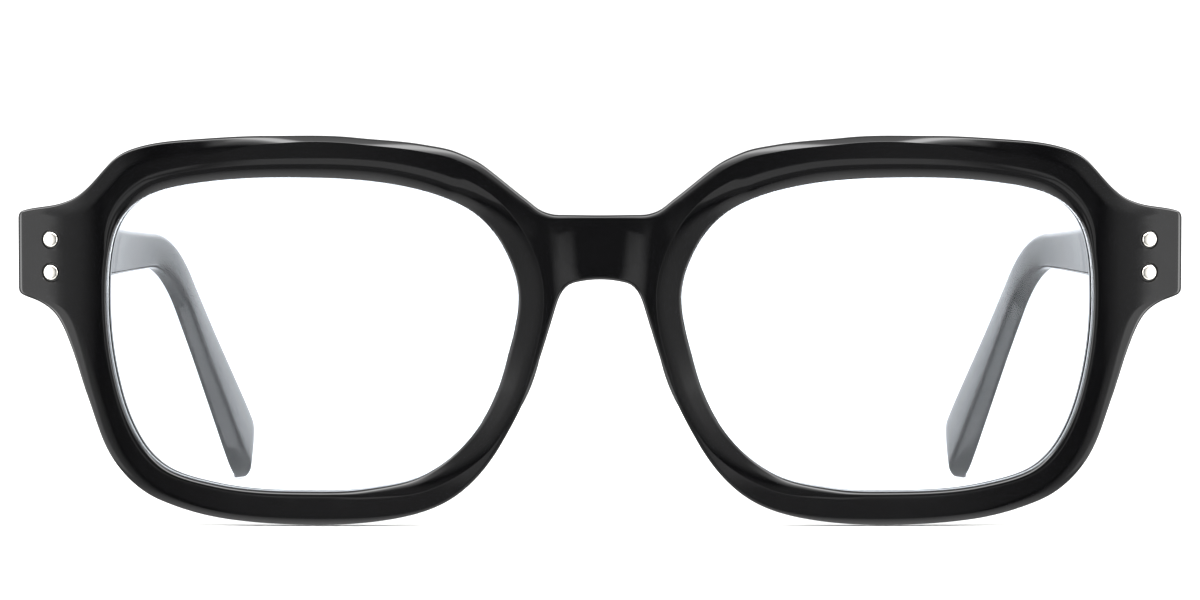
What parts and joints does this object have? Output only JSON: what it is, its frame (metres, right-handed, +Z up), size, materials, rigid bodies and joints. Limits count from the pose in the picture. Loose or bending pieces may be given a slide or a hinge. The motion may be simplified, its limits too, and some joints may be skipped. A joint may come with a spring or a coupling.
{
  "type": "eyeglasses frame",
  "caption": "Full-rim acetate eyeglasses with clear lenses, saddle bridge, riveted barrel hinges and folding temples that bend down behind the ears.",
  "frame": {"origin": "on the ground, under the middle of the object's box; the open spectacles stand on both rims and both temple tips", "axes": "+X toward the wearer's left, +Y back along the temples, +Z up; the front faces -Y"},
  "size_m": [0.143, 0.1328, 0.0478],
  "materials": {
    "acetate": "black cellulose acetate, tumbled and polished to a high gloss",
    "lens": "clear, untinted, polished",
    "nickel_silver": "nickel silver, polished rivet heads and milled hinge leaves",
    "steel": "bright drawn steel"
  },
  "bodies": {
    "front": {"front_frame": "acetate", "lens_left": "lens", "nose_pad_left": "acetate", "front_hinge_leaf_left": "nickel_silver", "hinge_screw_left": "steel", "front_rivet_upper_left": "nickel_silver", "front_rivet_lower_left": "nickel_silver", "lens_right": "lens", "nose_pad_right": "acetate", "front_hinge_leaf_right": "nickel_silver", "hinge_screw_right": "steel", "front_rivet_upper_right": "nickel_silver", "front_rivet_lower_right": "nickel_silver"},
    "temple_arm_left": {"temple_left": "acetate", "temple_core_left": "steel", "temple_hinge_leaf_left": "nickel_silver", "temple_rivet_front_left": "nickel_silver", "temple_rivet_rear_left": "nickel_silver"},
    "temple_arm_right": {"temple_right": "acetate", "temple_core_right": "steel", "temple_hinge_leaf_right": "nickel_silver", "temple_rivet_front_right": "nickel_silver", "temple_rivet_rear_right": "nickel_silver"}
  },
  "joints": [
    {"name": "temple_hinge_left", "type": "hinge", "parent": "front", "child": "temple_arm_left", "pos_m": [0.0647, -0.05629, 0.03339], "axis": [0, -0.0698, 0.9976], "range_deg": [0, 86]},
    {"name": "temple_hinge_right", "type": "hinge", "parent": "front", "child": "temple_arm_right", "pos_m": [-0.0647, -0.05629, 0.03339], "axis": [0, 0.0698, -0.9976], "range_deg": [0, 80]}
  ]
}
